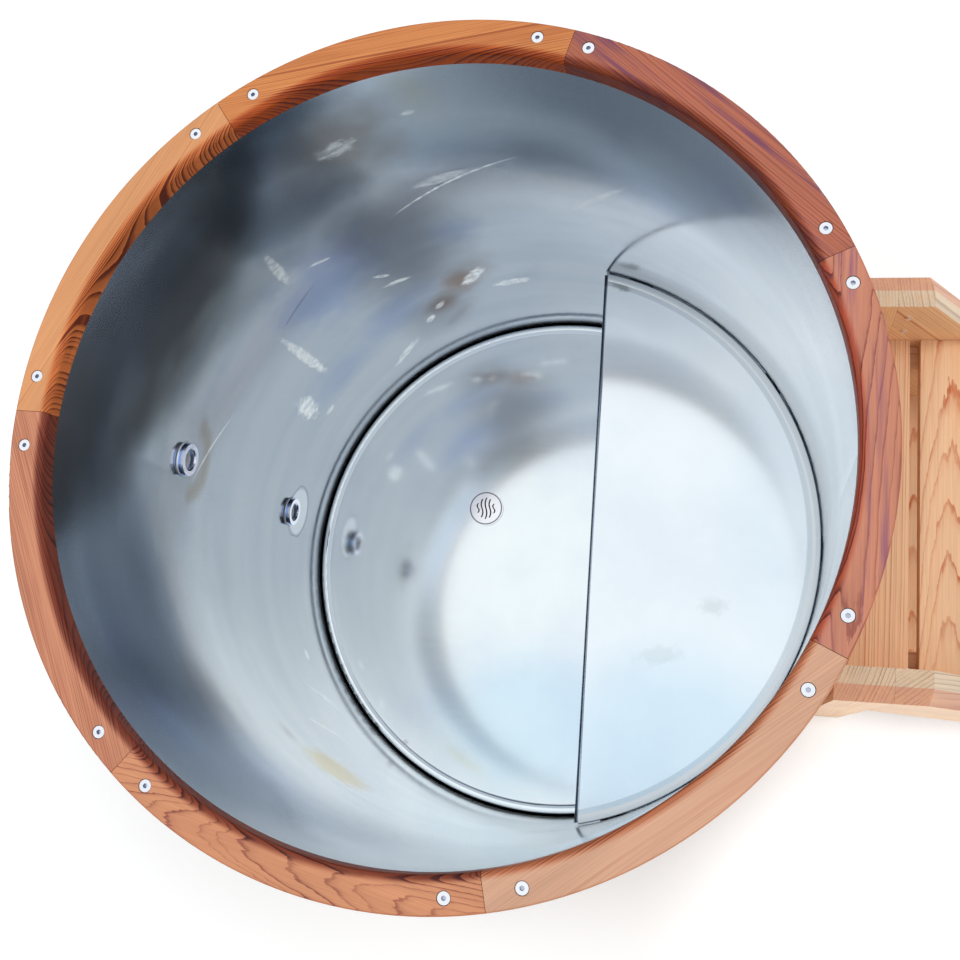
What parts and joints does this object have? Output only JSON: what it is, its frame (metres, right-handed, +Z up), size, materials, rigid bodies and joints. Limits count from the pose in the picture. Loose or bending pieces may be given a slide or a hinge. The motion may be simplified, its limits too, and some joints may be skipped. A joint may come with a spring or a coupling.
{
  "type": "barrel cold plunge tub",
  "caption": "Round wooden cold plunge barrel with a steel liner, lift-out half-moon seat, wall ports, floor drain with ball valves, and a wooden step unit.",
  "frame": {"origin": "on the ground at the middle of the middle joist's underside, on the tub's vertical axis", "axes": "+Z up along the tub's axis, +X towards the seat and the step unit, -X towards the wall ports and pipes"},
  "size_m": [1.6791, 1, 1.088],
  "materials": {
    "base_wood": "planed softwood",
    "stave_wood": "oiled cedar staves",
    "rim_wood_1": "oiled cedar, reddish brown",
    "rim_wood_2": "oiled cedar, orange",
    "rim_wood_3": "oiled cedar, light orange",
    "rim_wood_4": "oiled cedar, reddish",
    "rim_wood_5": "oiled cedar, orange tan",
    "rim_wood_6": "oiled cedar, pale tan",
    "rim_wood_7": "oiled cedar, red purple",
    "step_wood": "oiled pine",
    "liner_steel": "bright rolled stainless steel",
    "seat_steel": "bright rolled stainless steel",
    "fitting_steel": "turned stainless steel",
    "hoop_steel": "satin stainless band",
    "bolt_steel": "satin stainless steel",
    "foam": "rigid insulating foam",
    "rubber_seal": "black rubber",
    "pipe_plastic": "dark grey PVC",
    "valve_brass": "nickel-plated brass",
    "seat_ring": "white PTFE",
    "ball_chrome": "polished chrome",
    "lever_steel": "zinc-plated steel",
    "grip_vinyl": "blue vinyl sleeve"
  },
  "bodies": {
    "tub": {"joists": "base_wood", "deck_boards": "base_wood", "staves": "stave_wood", "port_stave": "stave_wood", "drain_stave": "stave_wood", "hoop_lower": "hoop_steel", "hoop_middle": "hoop_steel", "hoop_upper": "hoop_steel", "hoop_bolts": "bolt_steel", "hoop_nuts": "bolt_steel", "wall_foam": "foam", "floor_foam": "foam", "liner_wall": "liner_steel", "liner_floor": "liner_steel", "rim_1": "rim_wood_1", "rim_2": "rim_wood_2", "rim_3": "rim_wood_3", "rim_4": "rim_wood_4", "rim_5": "rim_wood_5", "rim_6": "rim_wood_6", "rim_7": "rim_wood_7", "rim_bolts": "bolt_steel", "seat_brackets": "seat_steel", "seat_pads": "rubber_seal", "port_sockets": "fitting_steel", "port_gaskets": "rubber_seal", "port_locknuts": "fitting_steel", "drain_flange": "fitting_steel", "drain_gasket": "rubber_seal", "drain_locknut": "fitting_steel", "drain_strainer": "fitting_steel", "drain_elbow": "pipe_plastic", "drain_pipe": "pipe_plastic", "valve_bodies": "valve_brass", "valve_caps": "valve_brass", "valve_seats": "seat_ring", "hose_tails": "valve_brass", "step_posts": "step_wood", "step_stringers": "step_wood", "step_treads": "step_wood", "step_rear_board": "step_wood", "step_cleats": "step_wood", "step_rail": "step_wood", "step_screws": "bolt_steel"},
    "upper_valve": {"upper_ball": "ball_chrome", "upper_lever": "lever_steel", "upper_grip": "grip_vinyl", "upper_nut": "bolt_steel"},
    "lower_valve": {"lower_ball": "ball_chrome", "lower_lever": "lever_steel", "lower_grip": "grip_vinyl", "lower_nut": "bolt_steel"},
    "drain_valve": {"drain_ball": "ball_chrome", "drain_lever": "lever_steel", "drain_grip": "grip_vinyl", "drain_nut": "bolt_steel"},
    "seat": {"seat_bench": "seat_steel", "seat_channels": "seat_steel"}
  },
  "joints": [
    {"name": "seat_lift", "type": "slide", "parent": "tub", "child": "seat", "axis": [0, 0, 1], "range_m": [0, 0.7]},
    {"name": "upper_valve_turn", "type": "hinge", "parent": "tub", "child": "upper_valve", "pos_m": [-0.55381, 0.0504, 0.726], "axis": [0, 0, 1], "range_deg": [0, 90]},
    {"name": "lower_valve_turn", "type": "hinge", "parent": "tub", "child": "lower_valve", "pos_m": [-0.55381, 0.0504, 0.296], "axis": [0, 0, 1], "range_deg": [0, 90]},
    {"name": "drain_valve_turn", "type": "hinge", "parent": "tub", "child": "drain_valve", "pos_m": [-0.44643, 0.31624, 0.036], "axis": [0, 0, 1], "range_deg": [0, 90]}
  ]
}
